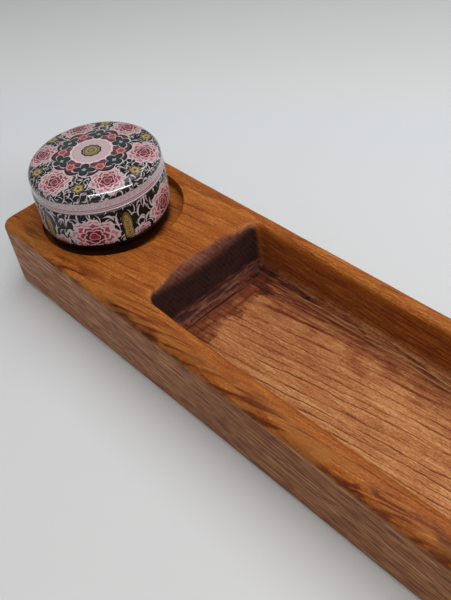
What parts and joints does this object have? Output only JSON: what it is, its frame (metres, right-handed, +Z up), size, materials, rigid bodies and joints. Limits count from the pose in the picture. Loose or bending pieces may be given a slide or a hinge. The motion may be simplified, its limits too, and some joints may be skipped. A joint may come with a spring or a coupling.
{
  "type": "catchall tray",
  "caption": "Long hardwood catchall tray with a deep round-cornered trough for small things and, at its end, a shallow round well that holds a lidded candle tin.",
  "frame": {"origin": "middle of the tray's flat underside", "axes": "+X along the tray from the tin's end to the trough's end, +Y across to the thinner long wall, +Z up"},
  "size_m": [0.38, 0.102, 0.0845],
  "materials": {
    "oiled_hardwood": "oiled, satin",
    "printed_tin": "printed and varnished, gloss",
    "printed_lid": "printed and varnished, gloss",
    "candle_wax": "smooth wax, satin",
    "braided_cotton": "braided, matt",
    "tinplate": "bright tinplate"
  },
  "bodies": {
    "tray": {"tray_block": "oiled_hardwood"},
    "tin": {"tin_body": "printed_tin", "candle_wax": "candle_wax", "candle_wick": "braided_cotton", "wick_tab": "tinplate"},
    "lid": {"tin_lid": "printed_lid"}
  },
  "joints": [
    {"name": "tin_lift", "type": "slide", "parent": "tray", "child": "tin", "axis": [0, 0, 1], "range_m": [0, 0.06]},
    {"name": "lid_lift", "type": "slide", "parent": "tin", "child": "lid", "axis": [0, 0, 1], "range_m": [0, 0.04]}
  ]
}
